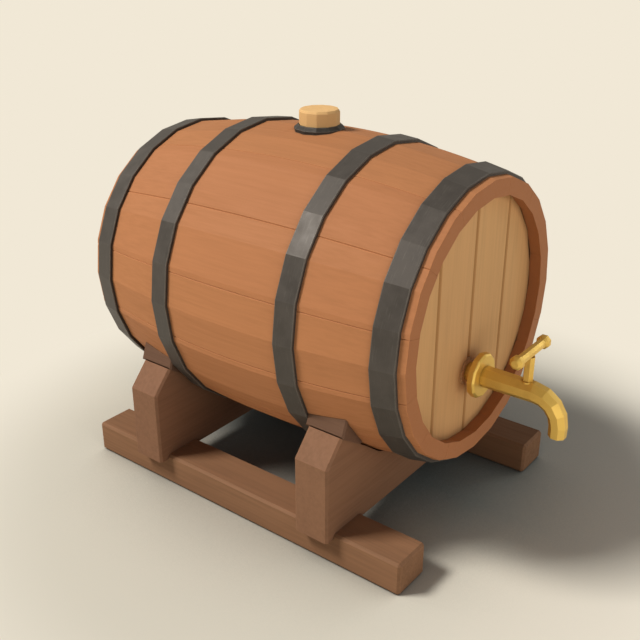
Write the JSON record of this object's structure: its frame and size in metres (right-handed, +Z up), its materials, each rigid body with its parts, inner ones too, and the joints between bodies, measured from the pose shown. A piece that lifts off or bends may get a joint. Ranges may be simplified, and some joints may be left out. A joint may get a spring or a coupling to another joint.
{
  "type": "keg on cradle",
  "caption": "Small wooden keg with dark iron hoops lying on a wooden cradle, with a lift-out bung on top and a brass spout tap worked by a crossbar.",
  "frame": {"origin": "on the floor, at the middle of the footprint of the whole part", "axes": "+Z up; Y along the keg, with the tap at the -Y end; X across the keg"},
  "size_m": [0.2738, 0.4244, 0.3409],
  "materials": {
    "stave_wood": "oiled, warm brown",
    "head_wood": "oiled, paler than the staves",
    "dowel_wood": "plain",
    "hoop_iron": "blackened, satin",
    "rivet_iron": "blackened, satin",
    "bush_iron": "blackened, satin",
    "bung_wood": "bare, pale",
    "tap_brass": "satin, with rubbed edges",
    "cork": "matt cork",
    "seal_rubber": "matt",
    "screw_steel": "plain",
    "skid_wood": "stained brown, matt",
    "saddle_wood": "stained brown, matt",
    "chock_wood": "stained brown, matt"
  },
  "bodies": {
    "cradle": {"left_skid": "skid_wood", "right_skid": "skid_wood", "front_saddle": "saddle_wood", "back_saddle": "saddle_wood", "front_left_chock": "chock_wood", "front_right_chock": "chock_wood", "back_left_chock": "chock_wood", "back_right_chock": "chock_wood", "cradle_screws": "screw_steel", "chock_dowels": "dowel_wood"},
    "keg": {"bung_stave": "stave_wood", "left_stave_1": "stave_wood", "left_stave_2": "stave_wood", "left_stave_3": "stave_wood", "left_stave_4": "stave_wood", "left_stave_5": "stave_wood", "left_stave_6": "stave_wood", "right_stave_1": "stave_wood", "right_stave_2": "stave_wood", "right_stave_3": "stave_wood", "right_stave_4": "stave_wood", "right_stave_5": "stave_wood", "right_stave_6": "stave_wood", "right_stave_7": "stave_wood", "front_head_board_1": "head_wood", "front_head_board_2": "head_wood", "front_head_board_3": "head_wood", "front_head_board_4": "head_wood", "back_head_board_1": "head_wood", "back_head_board_2": "head_wood", "back_head_board_3": "head_wood", "back_head_board_4": "head_wood", "front_head_dowels": "dowel_wood", "back_head_dowels": "dowel_wood", "front_chime_hoop": "hoop_iron", "front_bilge_hoop": "hoop_iron", "back_bilge_hoop": "hoop_iron", "back_chime_hoop": "hoop_iron", "hoop_rivets": "rivet_iron", "bung_bush": "bush_iron", "tap_barrel": "tap_brass", "tap_collar": "tap_brass", "tap_cork": "cork", "stop_screw": "screw_steel"},
    "bung": {"bung": "bung_wood"},
    "tap_key": {"tap_plug": "tap_brass", "plug_seal": "seal_rubber", "crossbar": "tap_brass", "left_knob": "tap_brass", "right_knob": "tap_brass"}
  },
  "joints": [
    {"name": "keg_lift", "type": "slide", "parent": "cradle", "child": "keg", "axis": [0, 0, 1], "range_m": [0, 0.08]},
    {"name": "bung_lift", "type": "slide", "parent": "keg", "child": "bung", "axis": [0, 0, 1], "range_m": [0, 0.06]},
    {"name": "tap_turn", "type": "hinge", "parent": "keg", "child": "tap_key", "pos_m": [0, -0.17561, 0.1417], "axis": [0, 0, 1], "range_deg": [0, 90]}
  ]
}
